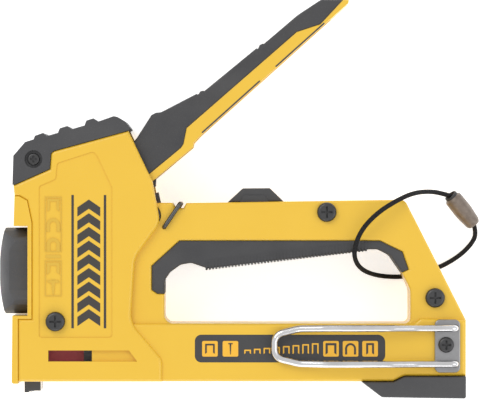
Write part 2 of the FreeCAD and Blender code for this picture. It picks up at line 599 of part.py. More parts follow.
# the outline is drawn in X and Y and turned into the Y-Z plane
knob_bar.Placement = Placement(Vector(-93.2, KNOB_AXIS_Y, MID), Rotation(Vector(0, 1, 0), Vector(0, 0, 1), Vector(1, 0, 0), "ZXY"))
dome = Part.makeCylinder(size("knob_dome"), 60, Vector(-92.1, KNOB_AXIS_Y - 30, MID), Vector(0, 1, 0))
bow = Part.makeCylinder(size("knob_bow"), 60, Vector(-106.7 + size("knob_bow"), KNOB_AXIS_Y, MID - 30))
knob = knob_bar.common(dome).common(bow)
knob = knob.cut(Part.makeCylinder(size("spindle_radius") + 0.02, 8.0, Vector(-99.0, KNOB_AXIS_Y, MID), Vector(1, 0, 0)))
feature_of("front_knob", knob)
keep(cylinder("knob_spindle", "spindle_radius", 10.1, (-99.0, KNOB_AXIS_Y, MID), (1, 0, 0)), "knob_spindle")
cam = Part.makeCylinder(8.0, 1.8, Vector(-88.9, KNOB_AXIS_Y, MID), Vector(1, 0, 0))
cam = cam.cut(Part.makeBox(10, 10, 30, Vector(-92, KNOB_AXIS_Y + 5.5, MID - 15)))
feature_of("knob_cam", cam)

# ---------------------------------------------------------------- belt hook

hook_plate = new_body("hook_plate_blank")
plate_sketch = new_sketch(hook_plate, [[(94.5, -80.0, 2.5), (106.2, -80.0, 2.5), (106.2, -55.6, 2.5), (94.5, -55.6, 2.5)]],
                          height="Dimensions.head_half + Dimensions.base_half")
extrude("Pad", hook_plate, plate_sketch, "Dimensions.hook_plate_thick")
soften(hook_plate, [MID + size("base_half") + size("hook_plate_thick")], "0.5 mm")
cut("belt_hook_plate", hook_plate,
    cylinder("hook_plate_hole", "cord_radius", 8, (*HOOK_SCREW, MID + 12), (0, 0, 1), 0.95),
    cylinder("hook_plate_eye1", "hook_radius", 8, (104.0, -59.6, MID + 12), (0, 0, 1), 0.1),
    cylinder("hook_plate_eye2", "hook_radius", 8, (104.0, -76.0, MID + 12), (0, 0, 1), 0.1))
HOOK_LOW = MID + size("base_half") + size("hook_plate_thick") + size("hook_radius") + 0.05
HOOK_HIGH = HOOK_LOW + 1.8
hook_points = [
    (104.0, -59.6, MID + 11.0), (104.0, -59.6, HOOK_LOW), (86.0, -59.6, HOOK_LOW), (74.0, -59.6, HOOK_HIGH),
    (44.0, -59.6, HOOK_HIGH), (32.0, -59.8, HOOK_LOW), (20.7, -62.6, HOOK_LOW), (20.7, -73.1, HOOK_LOW),
    (32.0, -75.8, HOOK_LOW), (44.0, -76.0, HOOK_HIGH), (74.0, -76.0, HOOK_HIGH), (86.0, -76.0, HOOK_LOW),
    (104.0, -76.0, HOOK_LOW), (104.0, -76.0, MID + 11.0),
]
feature_of("belt_hook_wire", tube(hook_points, size("hook_radius"), [1.7, 20, 20, 20, 12, 5, 5, 12, 20, 20, 20, 1.7])[0])
feature_of("belt_hook_screw", pan_screw("hook_screw", (*HOOK_SCREW, MID + size("base_half") + size("hook_plate_thick")),
                                        1.95, 3.6, 2.3, 5.8, 4.2))

# ---------------------------------------------------------------- lanyard

CLASP_TOP = (103.6, 1.2, 9.6)
CLASP_LOW = (114.5, -11.9, 4.6)
CORD_ROUTE = [
    (103.6, 1.2, 9.6), (97.8, 2.9, 14.0), (91.2, 3.4, 22.0), (84.0, 2.4, 30.5), (76.2, -1.2, 35.8),
    (68.4, -6.2, 36.4), (62.0, -12.6, 35.6), (58.3, -19.4, 35.6), (57.2, -26.2, 32.6), (59.8, -31.6, 23.0),
    (65.0, -34.8, 12.0), (72.2, -36.5, 4.0), (81.6, -36.8, 1.5), (91.0, -35.0, 1.3), (100.4, -31.5, 1.2),
    (108.4, -26.6, 1.2), (113.6, -21.4, 1.3), (116.0, -16.4, 2.8), (114.5, -11.9, 4.6),
]


def route_bends(route, share=0.45):
    """The largest bend radius that each inner point's two runs allow."""
    places, bends = [Vector(*p) for p in route], []
    for before, corner, after in zip(places, places[1:], places[2:]):
        turn = math.pi - (before - corner).getAngle(after - corner)
        bends.append(share * min((before - corner).Length, (after - corner).Length) / math.tan(turn / 2))
    return bends


cord_bends = route_bends(CORD_ROUTE)
cord_solid, cord_length = tube(CORD_ROUTE, size("cord_radius"), cord_bends)
print("cord length", round(cord_length, 1), "bend radii", [round(b, 1) for b in cord_bends])
feature_of("lanyard_cord", cord_solid)

clasp_axis = Vector(*CLASP_TOP) - Vector(*CLASP_LOW)
clasp_length = clasp_axis.Length
clasp_profile = Part.Face(Part.Wire([e.toShape() for e in rounded([
    (0.0, 0.0), (3.0, 0.0), (3.6, 1.2, 0.8), (4.3, 8.0, 10.0), (4.2, clasp_length - 1.6, 1.2), (2.6, clasp_length),
    (0.0, clasp_length)])]))
clasp = clasp_profile.revolve(Vector(0, 0, 0), Vector(0, 1, 0), 360)
clasp.Placement = Placement(Vector(*CLASP_LOW), Rotation(Vector(0, 1, 0), clasp_axis))
for end in (CLASP_TOP, CLASP_LOW):
    clasp = clasp.cut(Part.makeSphere(2.1, Vector(*end)))
feature_of("lanyard_clasp", clasp)

# ---------------------------------------------------------------- checks and export

document.recompute()
for thing in document.Objects:
    assert "Invalid" not in thing.State and "Error" not in thing.State, thing.Label + " has failed"
os.makedirs("parts", exist_ok=True)
for thing in finished:
    shape = thing.Shape
    assert not shape.isNull() and shape.isValid(), thing.Label + " has no valid shape"
    box_of = shape.BoundBox
    print("%-22s %d solids, volume %8.1f, X %6.1f %6.1f Y %6.1f %6.1f Z %5.1f %5.1f" % (
        thing.Label, len(shape.Solids), shape.Volume, box_of.XMin, box_of.XMax, box_of.YMin, box_of.YMax,
        box_of.ZMin, box_of.ZMax))
    shape.exportStep("parts/%s.step" % thing.Label)
print(len(finished), "sub-parts")
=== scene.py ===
import bpy
import math
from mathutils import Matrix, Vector


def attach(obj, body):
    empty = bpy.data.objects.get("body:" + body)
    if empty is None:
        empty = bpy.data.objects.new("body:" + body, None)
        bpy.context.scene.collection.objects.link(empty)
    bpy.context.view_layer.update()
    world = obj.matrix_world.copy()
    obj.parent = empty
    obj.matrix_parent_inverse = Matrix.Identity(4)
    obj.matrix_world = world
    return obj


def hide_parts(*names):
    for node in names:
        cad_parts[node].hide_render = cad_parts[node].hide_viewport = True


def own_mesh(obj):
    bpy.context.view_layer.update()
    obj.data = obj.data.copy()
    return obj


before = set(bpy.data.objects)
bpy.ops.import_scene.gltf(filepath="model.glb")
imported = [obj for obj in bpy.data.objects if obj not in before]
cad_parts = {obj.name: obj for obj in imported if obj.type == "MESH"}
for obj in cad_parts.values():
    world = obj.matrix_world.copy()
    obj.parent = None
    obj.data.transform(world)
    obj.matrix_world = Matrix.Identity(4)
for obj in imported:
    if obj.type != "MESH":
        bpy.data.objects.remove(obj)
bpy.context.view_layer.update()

# The staple gun lies on its side: +X nose to rear, +Y base to lever, +Z out of the upper side, in metres.
MM = 0.001
MID = 17 * MM
# two places closer than this count as one
NEAR = 1e-5


# ---------------------------------------------------------------- camera

# straight above the upper side, far off with a long lens, so the walls of the hand opening hardly show
CAMERA_X, CAMERA_Y, CAMERA_HEIGHT = 4.9, -0.6, 1500
SENSOR_WIDTH, LENS = 36, 239.1
bpy.ops.object.camera_add(location=(CAMERA_X * MM, CAMERA_Y * MM, CAMERA_HEIGHT * MM), rotation=(0, 0, 0))
camera = bpy.context.object
camera.data.sensor_width = SENSOR_WIDTH
camera.data.lens = LENS
camera.data.clip_start = 0.01
bpy.context.scene.camera = camera


# ---------------------------------------------------------------- small helpers

def let_go():
    """Nothing stays selected."""
    for other in bpy.context.selected_objects:
        other.select_set(False)


def take(piece):
    """Only this piece is selected and active."""
    let_go()
    piece.select_set(True)
    bpy.context.view_layer.objects.active = piece


def name_it(name):
    """The piece that was just made gets its name."""
    piece = bpy.context.object
    piece.name = name
    piece.data.name = name
    return piece


def select_where(kind, test):
    """In edit mode, selects the vertices, edges or faces whose middle passes the test."""
    bpy.ops.mesh.select_mode(type=kind)
    bpy.ops.mesh.select_all(action="DESELECT")
    bpy.ops.object.mode_set(mode="OBJECT")
    mesh = bpy.context.object.data
    items = {"VERT": mesh.vertices, "EDGE": mesh.edges, "FACE": mesh.polygons}[kind]
    for item in items:
        if kind == "VERT":
            item.select = test(item.co)
        elif kind == "EDGE":
            a, b = (mesh.vertices[i].co for i in item.vertices)
            item.select = test((a + b) / 2)
        else:
            item.select = test(item.center)
    bpy.ops.object.mode_set(mode="EDIT")


def modify(piece, kind, **settings):
    """Adds a modifier and applies it at once."""
    take(piece)
    modifier = piece.modifiers.new(kind.title(), kind)
    for key, value in settings.items():
        setattr(modifier, key, value)
    bpy.ops.object.modifier_apply(modifier=modifier.name)


def settle(piece):
    """The piece's place goes into its mesh, and its faces look outwards."""
    take(piece)
    bpy.ops.object.transform_apply(location=True, rotation=True, scale=True)
    bpy.ops.object.mode_set(mode="EDIT")
    bpy.ops.mesh.select_all(action="SELECT")
    bpy.ops.mesh.remove_doubles(threshold=1e-6)
    bpy.ops.mesh.normals_make_consistent(inside=False)
    bpy.ops.object.mode_set(mode="OBJECT")


def join(name, pieces):
    """Several pieces become one."""
    take(pieces[0])
    for piece in pieces[1:]:
        piece.select_set(True)
    if len(pieces) > 1:
        bpy.ops.object.join()
    return name_it(name)


def dress(piece, body, material, smooth=30):
    """Gives a piece its finish and the body it rides on."""
    piece.data.materials.clear()
    piece.data.materials.append(material)
    if piece.type == "MESH" and smooth:
        take(piece)
        bpy.ops.object.shade_smooth_by_angle(angle=math.radians(smooth))
    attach(piece, body)
    let_go()
    return piece


# ---------------------------------------------------------------- finishes

class Finish:
    """A node material, built from object-space patterns."""

    def __init__(self, name, colour, roughness=0.5, metallic=0.0):
        self.material = bpy.data.materials.new(name)
        self.material.use_nodes = True
        self.tree = self.material.node_tree
        self.shader = self.tree.nodes["Principled BSDF"]
        self.shader.inputs["Base Color"].default_value = (*colour, 1)
        self.shader.inputs["Roughness"].default_value = roughness
        self.shader.inputs["Metallic"].default_value = metallic
        self.place = self.tree.nodes.new("ShaderNodeTexCoord").outputs["Object"]
        self.colour = None
        self.start = (*colour, 1)
        self.bumps = None

    def link(self, a, b):
        self.tree.links.new(a, b)

    def stretched(self, scale):
        node = self.tree.nodes.new("ShaderNodeMapping")
        node.inputs["Scale"].default_value = scale
        self.link(self.place, node.inputs["Vector"])
        return node.outputs["Vector"]

    def noise(self, scale, detail=3, rough=0.55, stretch=None):
        node = self.tree.nodes.new("ShaderNodeTexNoise")
        node.inputs["Scale"].default_value = scale
        node.inputs["Detail"].default_value = detail
        node.inputs["Roughness"].default_value = rough
        self.link(self.stretched(stretch) if stretch else self.place, node.inputs["Vector"])
        return node.outputs["Fac"]

    def cells(self, scale, feature="F1"):
        node = self.tree.nodes.new("ShaderNodeTexVoronoi")
        node.feature = feature
        node.inputs["Scale"].default_value = scale
        self.link(self.place, node.inputs["Vector"])
        return node.outputs["Distance"]

    def ramp(self, value, low, high, out_low=0.0, out_high=1.0):
        node = self.tree.nodes.new("ShaderNodeMapRange")
        node.inputs["From Min"].default_value = low
        node.inputs["From Max"].default_value = high
        node.inputs["To Min"].default_value = out_low
        node.inputs["To Max"].default_value = out_high
        self.link(value, node.inputs["Value"])
        return node.outputs["Result"]

    def tint(self, mask, colour):
        """Mixes in another colour where the mask is high."""
        node = self.tree.nodes.new("ShaderNodeMix")
        node.data_type = "RGBA"
        self.link(mask, node.inputs["Factor"])
        if self.colour:
            self.link(self.colour, node.inputs["A"])
        else:
            node.inputs["A"].default_value = self.start
        node.inputs["B"].default_value = (*colour, 1)
        self.colour = node.outputs["Result"]
        self.link(self.colour, self.shader.inputs["Base Color"])

    def gloss(self, value):
        self.link(value, self.shader.inputs["Roughness"])

    def bump(self, height, distance, strength=1.0):
        node = self.tree.nodes.new("ShaderNodeBump")
        node.inputs["Strength"].default_value = strength
        node.inputs["Distance"].default_value = distance
        self.link(height, node.inputs["Height"])
        if self.bumps:
            self.link(self.bumps, node.inputs["Normal"])
        self.bumps = node.outputs["Normal"]
        self.link(self.bumps, self.shader.inputs["Normal"])


def yellow_enamel(name="yellow_enamel", shade=1.0):
    """Baked enamel on a cast shell: fine orange peel, light smudges and small rubbed specks."""
    f = Finish(name, (0.805 * shade, 0.5 * shade, 0.038), 0.36)
    f.tint(f.ramp(f.noise(35, 4), 0.35, 0.75, 0, 0.35), (0.75 * shade, 0.45 * shade, 0.028))
    f.tint(f.ramp(f.noise(900, 5), 0.7, 0.76, 0, 0.35), (0.6, 0.34, 0.02))
    f.gloss(f.ramp(f.noise(60, 5), 0.3, 0.7, 0.27, 0.42))
    f.bump(f.noise(1400, 2), 0.00004, 0.35)
    f.bump(f.noise(120, 3), 0.0001, 0.12)
    f.shader.inputs["Coat Weight"].default_value = 0.25
    f.shader.inputs["Coat Roughness"].default_value = 0.18
    return f.material


def black_nylon(name="black_nylon", shade=0.052, grain=1500):
    """Spark-textured moulded nylon with a slight bloom."""
    f = Finish(name, (shade, shade, shade * 1.06), 0.55)
    f.tint(f.ramp(f.noise(45, 4), 0.35, 0.75, 0, 0.6), (shade * 1.45, shade * 1.43, shade * 1.45))
    f.tint(f.ramp(f.noise(1900, 3), 0.62, 0.75, 0, 0.5), (shade * 2.1, shade * 2.1, shade * 2.1))
    f.gloss(f.ramp(f.noise(80, 4), 0.3, 0.7, 0.48, 0.64))
    f.bump(f.cells(grain), 0.00012, 0.35)
    return f.material


def soft_rubber():
    """Overmoulded rubber: matte, finely stippled and a little dusty."""
    f = Finish("soft_rubber", (0.048, 0.048, 0.051), 0.72)
    f.tint(f.ramp(f.noise(30, 5), 0.4, 0.8, 0, 0.55), (0.075, 0.073, 0.072))
    f.tint(f.ramp(f.noise(2500, 2), 0.6, 0.72, 0, 0.4), (0.1, 0.1, 0.1))
    f.gloss(f.ramp(f.noise(70, 4), 0.3, 0.7, 0.62, 0.82))
    f.bump(f.cells(2300), 0.0001, 0.5)
    f.shader.inputs["Sheen Weight"].default_value = 0.08
    return f.material


def steel(name, shade, roughness, stretch, scratches=0.25):
    """Rolled or drawn steel, with grain along its length and darker oxide patches."""
    f = Finish(name, (shade, shade, shade * 1.02), roughness, 1.0)
    f.tint(f.ramp(f.noise(60, 5), 0.4, 0.75, 0, 0.5), (shade * 0.62, shade * 0.6, shade * 0.58))
    f.gloss(f.ramp(f.noise(500, 4, stretch=stretch), 0.3, 0.7, roughness * 0.7, roughness * 1.35))
    f.bump(f.noise(900, 3, stretch=stretch), 0.00005, scratches)
    return f.material


def print_ink(name, colour):
    """Screen-printed ink, slightly thin in places."""
    f = Finish(name, colour, 0.4)
    f.tint(f.ramp(f.noise(2200, 3), 0.58, 0.72, 0, 0.3), tuple(c * 1.5 + 0.03 for c in colour))
    f.gloss(f.ramp(f.noise(150, 3), 0.3, 0.7, 0.33, 0.5))
    f.bump(f.noise(1600, 2), 0.00003, 0.25)
    return f.material


def cord_braid():
    """Braided black nylon cord."""
    f = Finish("cord_braid", (0.006, 0.006, 0.007), 0.8)
    f.tint(f.ramp(f.cells(1500), 0.1, 0.6, 0, 0.8), (0.022, 0.022, 0.024))
    f.bump(f.cells(1500), 0.0003, 0.8)
    f.shader.inputs["Specular IOR Level"].default_value = 0.2
    return f.material


def clasp_bronze():
    """Bronze-brown moulded clasp with a soft metallic flake and rubbed edges."""
    f = Finish("clasp_bronze", (0.17, 0.135, 0.11), 0.42, 0.35)
    f.tint(f.ramp(f.noise(400, 4), 0.4, 0.7, 0, 0.6), (0.27, 0.225, 0.19))
    f.gloss(f.ramp(f.noise(200, 3), 0.3, 0.7, 0.3, 0.52))
    f.bump(f.noise(1500, 2), 0.00005, 0.4)
    return f.material


def red_acetal():
    """Dark red moulded plastic of the staple indicator."""
    f = Finish("red_acetal", (0.8, 0.13, 0.16), 0.45)
    f.tint(f.ramp(f.noise(300, 3), 0.4, 0.7, 0, 0.5), (0.88, 0.18, 0.19))
    f.bump(f.noise(1500, 2), 0.00004, 0.3)
    return f.material


def backdrop_paper():
    f = Finish("backdrop_paper", (0.95, 0.95, 0.95), 0.9)
    f.tint(f.ramp(f.noise(8, 3), 0.3, 0.7, 0, 0.5), (0.94, 0.94, 0.94))
    f.shader.inputs["Emission Color"].default_value = (1, 1, 1, 1)
    f.shader.inputs["Emission Strength"].default_value = 0.6
    return f.material


YELLOW = yellow_enamel()
# a darker copy of the enamel for the moulded signs: painted shade along the low relief
SHADED_YELLOW = yellow_enamel("shaded_yellow_enamel", 0.86)
NYLON = black_nylon()
KNOB_NYLON = black_nylon("knob_nylon", 0.06, 1900)
LABEL_NYLON = black_nylon("label_nylon", 0.04, 2600)
RUBBER = soft_rubber()
BRIGHT = steel("bright_steel", 0.62, 0.3, (1, 8, 8))
BLACKENED = steel("blackened_steel", 0.12, 0.42, (1, 6, 6), 0.35)
SCREW_STEEL = steel("screw_steel", 0.085, 0.42, (3, 3, 3), 0.3)
PLATE_STEEL = steel("hook_plate_steel", 0.36, 0.36, (1, 7, 7), 0.3)
SPRING_STEEL = steel("spring_steel", 0.42, 0.34, (6, 1, 6))
PLATED = steel("plated_wire", 0.74, 0.18, (1, 5, 5), 0.12)
CORD = cord_braid()
BRONZE = clasp_bronze()
RED = red_acetal()
INK = print_ink("dark_ink", (0.045, 0.04, 0.036))
YELLOW_INK = print_ink("yellow_ink", (0.86, 0.46, 0.035))
# near-black rubber for the striker damper, also used as painted shade in the clasp's opening
DAMPER_AND_SHADE = black_nylon("damper_rubber", 0.03, 900)

NODE_FINISH = {
    "housing_upper": YELLOW, "housing_lower": YELLOW, "front_cover": YELLOW, "lever_arm": YELLOW,
    "top_cap": NYLON, "drawer_foot": NYLON, "pivot_bushes": NYLON, "front_knob": KNOB_NYLON,
    "hand_grip": RUBBER, "lever_stop_pad": RUBBER, "lever_grip": RUBBER, "striker_damper": DAMPER_AND_SHADE,
    "side_labels": LABEL_NYLON, "cap_screw": SCREW_STEEL, "housing_screws": SCREW_STEEL,
    "belt_hook_screw": SCREW_STEEL, "magazine_channel": BRIGHT, "nose_strip": BRIGHT,
    "driver_blade": BRIGHT, "drawer_rail": BRIGHT, "lever_cross_pins": BRIGHT, "lever_pin": BRIGHT,
    "knob_spindle": BRIGHT, "nose_guide": BLACKENED, "spring_seat": BLACKENED, "striker": BLACKENED,
    "spring_stop": BLACKENED, "pusher": BLACKENED, "drive_arm": BLACKENED, "knob_cam": BLACKENED,
    "belt_hook_plate": PLATE_STEEL, "belt_hook_wire": PLATED, "lock_bail": BLACKENED,
    "lever_return_spring": SPRING_STEEL, "indicator_flag": RED, "lanyard_cord": CORD, "lanyard_clasp": BRONZE,
}
for node, finish in NODE_FINISH.items():
    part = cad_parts[node]
    for material_slot in part.material_slots:
        material_slot.material = finish
    if not part.material_slots:
        part.data.materials.append(finish)


# ---------------------------------------------------------------- springs

def pressed_spring(node, body):
    """Stands in for a plain coil: a merged copy with its own mesh that rides on the body, kept at its rest
    length.
    """
    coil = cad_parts[node].copy()
    coil.data = coil.data.copy()
    coil.parent = None
    coil.name = coil.data.name = node + "_coil"
    bpy.context.collection.objects.link(coil)
    coil.matrix_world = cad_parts[node].matrix_world.copy()
    settle(coil)
    dress(coil, body, SPRING_STEEL)
    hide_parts(node)
    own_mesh(coil)


pressed_spring("power_spring", "housing")
pressed_spring("pusher_spring", "drawer")


# ---------------------------------------------------------------- lanyard

# the same route as the CAD cord, from the clasp over the hand bar, under the strut and back to the clasp
CORD_ROUTE = [
    (103.6, 1.2, 9.6), (97.8, 2.9, 14.0), (91.2, 3.4, 22.0), (84.0, 2.4, 30.5), (76.2, -1.2, 35.8),
    (68.4, -6.2, 36.4), (62.0, -12.6, 35.6), (58.3, -19.4, 35.6), (57.2, -26.2, 32.6), (59.8, -31.6, 23.0),
    (65.0, -34.8, 12.0), (72.2, -36.5, 4.0), (81.6, -36.8, 1.5), (91.0, -35.0, 1.3), (100.4, -31.5, 1.2),
    (108.4, -26.6, 1.2), (113.6, -21.4, 1.3), (116.0, -16.4, 2.8), (114.5, -11.9, 4.6),
]
curve = bpy.data.curves.new("wrist_cord", "CURVE")
curve.dimensions = "3D"
spline = curve.splines.new("NURBS")
spline.points.add(len(CORD_ROUTE) - 1)
for point, place in zip(spline.points, CORD_ROUTE):
    point.co = (place[0] * MM, place[1] * MM, place[2] * MM, 1)
spline.order_u = 3
spline.use_endpoint_u = True
curve.resolution_u = 16
curve.bevel_depth = 1.1 * MM
curve.bevel_resolution = 5
curve.use_fill_caps = True
wrist_cord = bpy.data.objects.new("wrist_cord", curve)
bpy.context.collection.objects.link(wrist_cord)
dress(wrist_cord, "housing", CORD)
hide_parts("lanyard_cord")

# a dark cup at the clasp's upper end, where both ends of the cord go in: its near-black finish is painted shade
# for the inside of the opening
clasp_top, clasp_low = (Vector(CORD_ROUTE[i]) * MM for i in (0, -1))
clasp_axis = (clasp_top - clasp_low).normalized()
MOUTH_RADIUS, MOUTH_THICK, MOUTH_RIM = 3.1, 1.6, 0.9
upper_end = (MOUTH_THICK / 2 - 0.1) * MM
bpy.ops.mesh.primitive_cylinder_add(vertices=40, radius=MOUTH_RADIUS * MM, depth=MOUTH_THICK * MM)
clasp_mouth = name_it("clasp_mouth")
take(clasp_mouth)
bpy.ops.object.mode_set(mode="EDIT")
select_where("FACE", lambda co: co.z > upper_end)
bpy.ops.mesh.inset(thickness=MOUTH_RIM * MM, depth=0)
bpy.ops.mesh.extrude_region_move(TRANSFORM_OT_translate={"value": (0, 0, -1.1 * MM)})
select_where("EDGE", lambda co: co.z > upper_end)
bpy.ops.mesh.bevel(offset=0.25 * MM, segments=2, affect="EDGES")
bpy.ops.object.mode_set(mode="OBJECT")
clasp_mouth.rotation_euler = clasp_axis.to_track_quat("Z", "Y").to_euler()
clasp_mouth.location = clasp_top - clasp_axis * 0.1 * MM
settle(clasp_mouth)
# the near-black finish on this cup is painted shade
dress(clasp_mouth, "housing", DAMPER_AND_SHADE)


# ---------------------------------------------------------------- printed and moulded signs on the sides

def slab(name, low, high, soft=0.0, segments=2):
    """A flat bar between two corners in millimetres, heights from the mid-plane, its upright edges rounded."""
    middle = [(a + b) / 2 * MM for a, b in zip(low, high)]
    bpy.ops.mesh.primitive_cube_add(size=1, location=(middle[0], middle[1], middle[2] + MID))
    piece = name_it(name)
    piece.scale = [(b - a) * MM for a, b in zip(low, high)]
    settle(piece)
    if soft:
        bpy.ops.object.mode_set(mode="EDIT")
        corners = [(x * MM, y * MM) for x in (low[0], high[0]) for y in (low[1], high[1])]
        select_where("EDGE", lambda co: any(abs(co.x - x) < NEAR and abs(co.y - y) < NEAR for x, y in corners))
        bpy.ops.mesh.bevel(offset=soft * MM, segments=segments, affect="EDGES")
        bpy.ops.object.mode_set(mode="OBJECT")
    return piece


def staple_sign(x, y, width, height, line, face, thick=0.12):
    """A square staple, legs down, raised from the face at that height."""
    left, right, top, low = x - width / 2, x + width / 2, y + height / 2, y - height / 2
    z = (face, face + thick)
    bars = [slab("bar", (left, top - line, z[0]), (right, top, z[1]), line * 0.3)]
    for a, b in ((left, left + line), (right - line, right)):
        leg = slab("leg", (a, low, z[0]), (b, top - line * 0.5, z[1] - 0.01))
        bpy.ops.object.mode_set(mode="EDIT")
        inner = (width / 2 - line * 0.5) * MM
        select_where("VERT", lambda co: co.y < (low + 0.01) * MM and abs(co.x - x * MM) < inner)
        bpy.ops.transform.translate(value=(0, line * 0.7 * MM, 0))
        bpy.ops.object.mode_set(mode="OBJECT")
        bars.append(leg)
    return bars


def round_staple_sign(x, y, width, height, line, face, thick=0.12):
    """A cable staple with a round crown: a bar's end spun half round, then drawn down into legs."""
    outer = width / 2
    crown_y = y + height / 2 - outer
    middle = ((x + outer - line / 2) * MM, crown_y * MM, MID + (face + thick / 2) * MM)
    bpy.ops.mesh.primitive_plane_add(size=1, location=middle, rotation=(math.radians(90), 0, 0))
    piece = name_it("arch")
    piece.scale = (line * MM, thick * MM, 1)
    take(piece)
    bpy.ops.object.transform_apply(location=True, rotation=True, scale=True)
    bpy.ops.object.mode_set(mode="EDIT")
    bpy.ops.mesh.select_all(action="SELECT")
    bpy.ops.mesh.spin(steps=12, angle=-math.pi, center=(x * MM, crown_y * MM, MID), axis=(0, 0, 1))
    bpy.ops.object.mode_set(mode="OBJECT")
    bars = [piece]
    for side in (-1, 1):
        a, b = sorted((x + side * (outer - line), x + side * outer))
        bars.append(slab("leg", (a, y - height / 2, face), (b, crown_y, face + thick)))
    return bars


def nail_sign(x, y, height, line, face, thick=0.12):
    """A nail, head up, its shaft narrowing to a point."""
    shaft = slab("shaft", (x - line / 2, y - height / 2, face), (x + line / 2, y + height / 2, face + thick))
    bpy.ops.object.mode_set(mode="EDIT")
    select_where("VERT", lambda co: co.y < (y - height / 2 + 0.01) * MM)
    bpy.ops.transform.resize(value=(0.35, 1, 1), center_override=(x * MM, 0, 0))
    bpy.ops.object.mode_set(mode="OBJECT")
    head = slab("head", (x - line * 1.3, y + height / 2 - line * 0.6, face),
                (x + line * 1.3, y + height / 2, face + thick + 0.01), line * 0.2)
    return [shaft, head]


def frame_sign(x0, y0, x1, y1, line, face, thick=0.12):
    """A raised rectangular outline: a plane inset once, its middle removed, the rim given a thickness."""
    bpy.ops.mesh.primitive_plane_add(size=1, location=((x0 + x1) / 2 * MM, (y0 + y1) / 2 * MM, MID + face * MM))
    piece = name_it("rim")
    piece.scale = ((x1 - x0) * MM, (y1 - y0) * MM, 1)
    take(piece)
    bpy.ops.object.transform_apply(location=True, rotation=True, scale=True)
    bpy.ops.object.mode_set(mode="EDIT")
    bpy.ops.mesh.select_all(action="SELECT")
    bpy.ops.mesh.inset(thickness=line * MM, depth=0)
    bpy.ops.mesh.delete(type="FACE")
    bpy.ops.object.mode_set(mode="OBJECT")
    modify(piece, "SOLIDIFY", thickness=thick * MM, offset=1)
    return [piece]


def both_sides(name, pieces, body, material, smooth=30):
    """Joins the signs of the upper side and makes a copy for the lower side."""
    upper = join(name + "_upper", pieces)
    settle(upper)
    lower = upper.copy()
    lower.data = upper.data.copy()
    lower.name = lower.data.name = name + "_lower"
    bpy.context.collection.objects.link(lower)
    for vertex in lower.data.vertices:
        vertex.co.z = 2 * MID - vertex.co.z
    settle(lower)
    return [dress(piece, body, material, smooth) for piece in (upper, lower)]


# five yellow tiles on the label, each with the outline of a fastener
TILES = [-8.95, 0.5, 46.8, 55.8, 64.8]
TILE_Y, TILE_HALF = -69.1, 3.6
LABEL_FACE = 15.1
TILE_FACE = LABEL_FACE + 0.14
tiles = [slab("tile", (x - TILE_HALF, TILE_Y - TILE_HALF, LABEL_FACE),
              (x + TILE_HALF, TILE_Y + TILE_HALF, TILE_FACE), 0.7, 3) for x in TILES]
both_sides("label_tiles", tiles, "housing", YELLOW_INK)
signs = staple_sign(TILES[0], TILE_Y, 4.4, 4.6, 0.75, TILE_FACE)
signs += nail_sign(TILES[1], TILE_Y, 5.2, 0.8, TILE_FACE)
signs += staple_sign(TILES[2], TILE_Y, 5.0, 5.2, 1.0, TILE_FACE)
signs += round_staple_sign(TILES[3], TILE_Y, 5.0, 5.2, 0.9, TILE_FACE)
signs += staple_sign(TILES[4], TILE_Y, 3.6, 5.2, 0.9, TILE_FACE)
both_sides("tile_signs", signs, "housing", INK)

# a row of leg lengths between the tiles, from the shortest staple to the longest
LENGTHS, FIRST_X, STEP_X = 8, 8.4, 4.45
SHORTEST, LONGER = 2.0, 0.42
LENGTHS_FOOT = TILE_Y - 2.4
bars = []
for i in range(LENGTHS):
    height = SHORTEST + LONGER * i
    bars += staple_sign(FIRST_X + STEP_X * i, LENGTHS_FOOT + height / 2, 3.1, height, 0.62, LABEL_FACE)
both_sides("leg_lengths", bars, "housing", YELLOW_INK)

# the printed stripes of the head panel: two rules and a ladder of chevrons
PANEL_FACE, INK_TOP = 16.5, 16.6
CHEVRONS, CHEVRON_PITCH, CHEVRON_RISE = 9, 6.3, 3.6
CHEVRON_LEFT, CHEVRON_RIGHT, CHEVRON_X = -69.9, -59.4, -64.65
RULES, RULE_HALF, RULE_FOOT, RULE_TOP = (-72.1, -57.2), 0.55, -59.6, 1.7
rules = [slab("rule", (x - RULE_HALF, RULE_FOOT, PANEL_FACE), (x + RULE_HALF, RULE_TOP, INK_TOP)) for x in RULES]
chevron = slab("chevron", (CHEVRON_LEFT, -58.6, PANEL_FACE), (CHEVRON_RIGHT, -54.4, INK_TOP))
bpy.ops.object.mode_set(mode="EDIT")
bpy.ops.mesh.select_all(action="SELECT")
bpy.ops.mesh.bisect(plane_co=(CHEVRON_X * MM, 0, MID), plane_no=(1, 0, 0))
select_where("VERT", lambda co: abs(co.x - CHEVRON_X * MM) < NEAR)
bpy.ops.transform.translate(value=(0, CHEVRON_RISE * MM, 0))
bpy.ops.object.mode_set(mode="OBJECT")
modify(chevron, "ARRAY", count=CHEVRONS, use_relative_offset=False, use_constant_offset=True,
       constant_offset_displace=(0, CHEVRON_PITCH * MM, 0))
both_sides("panel_stripes", rules + [chevron], "housing", INK)

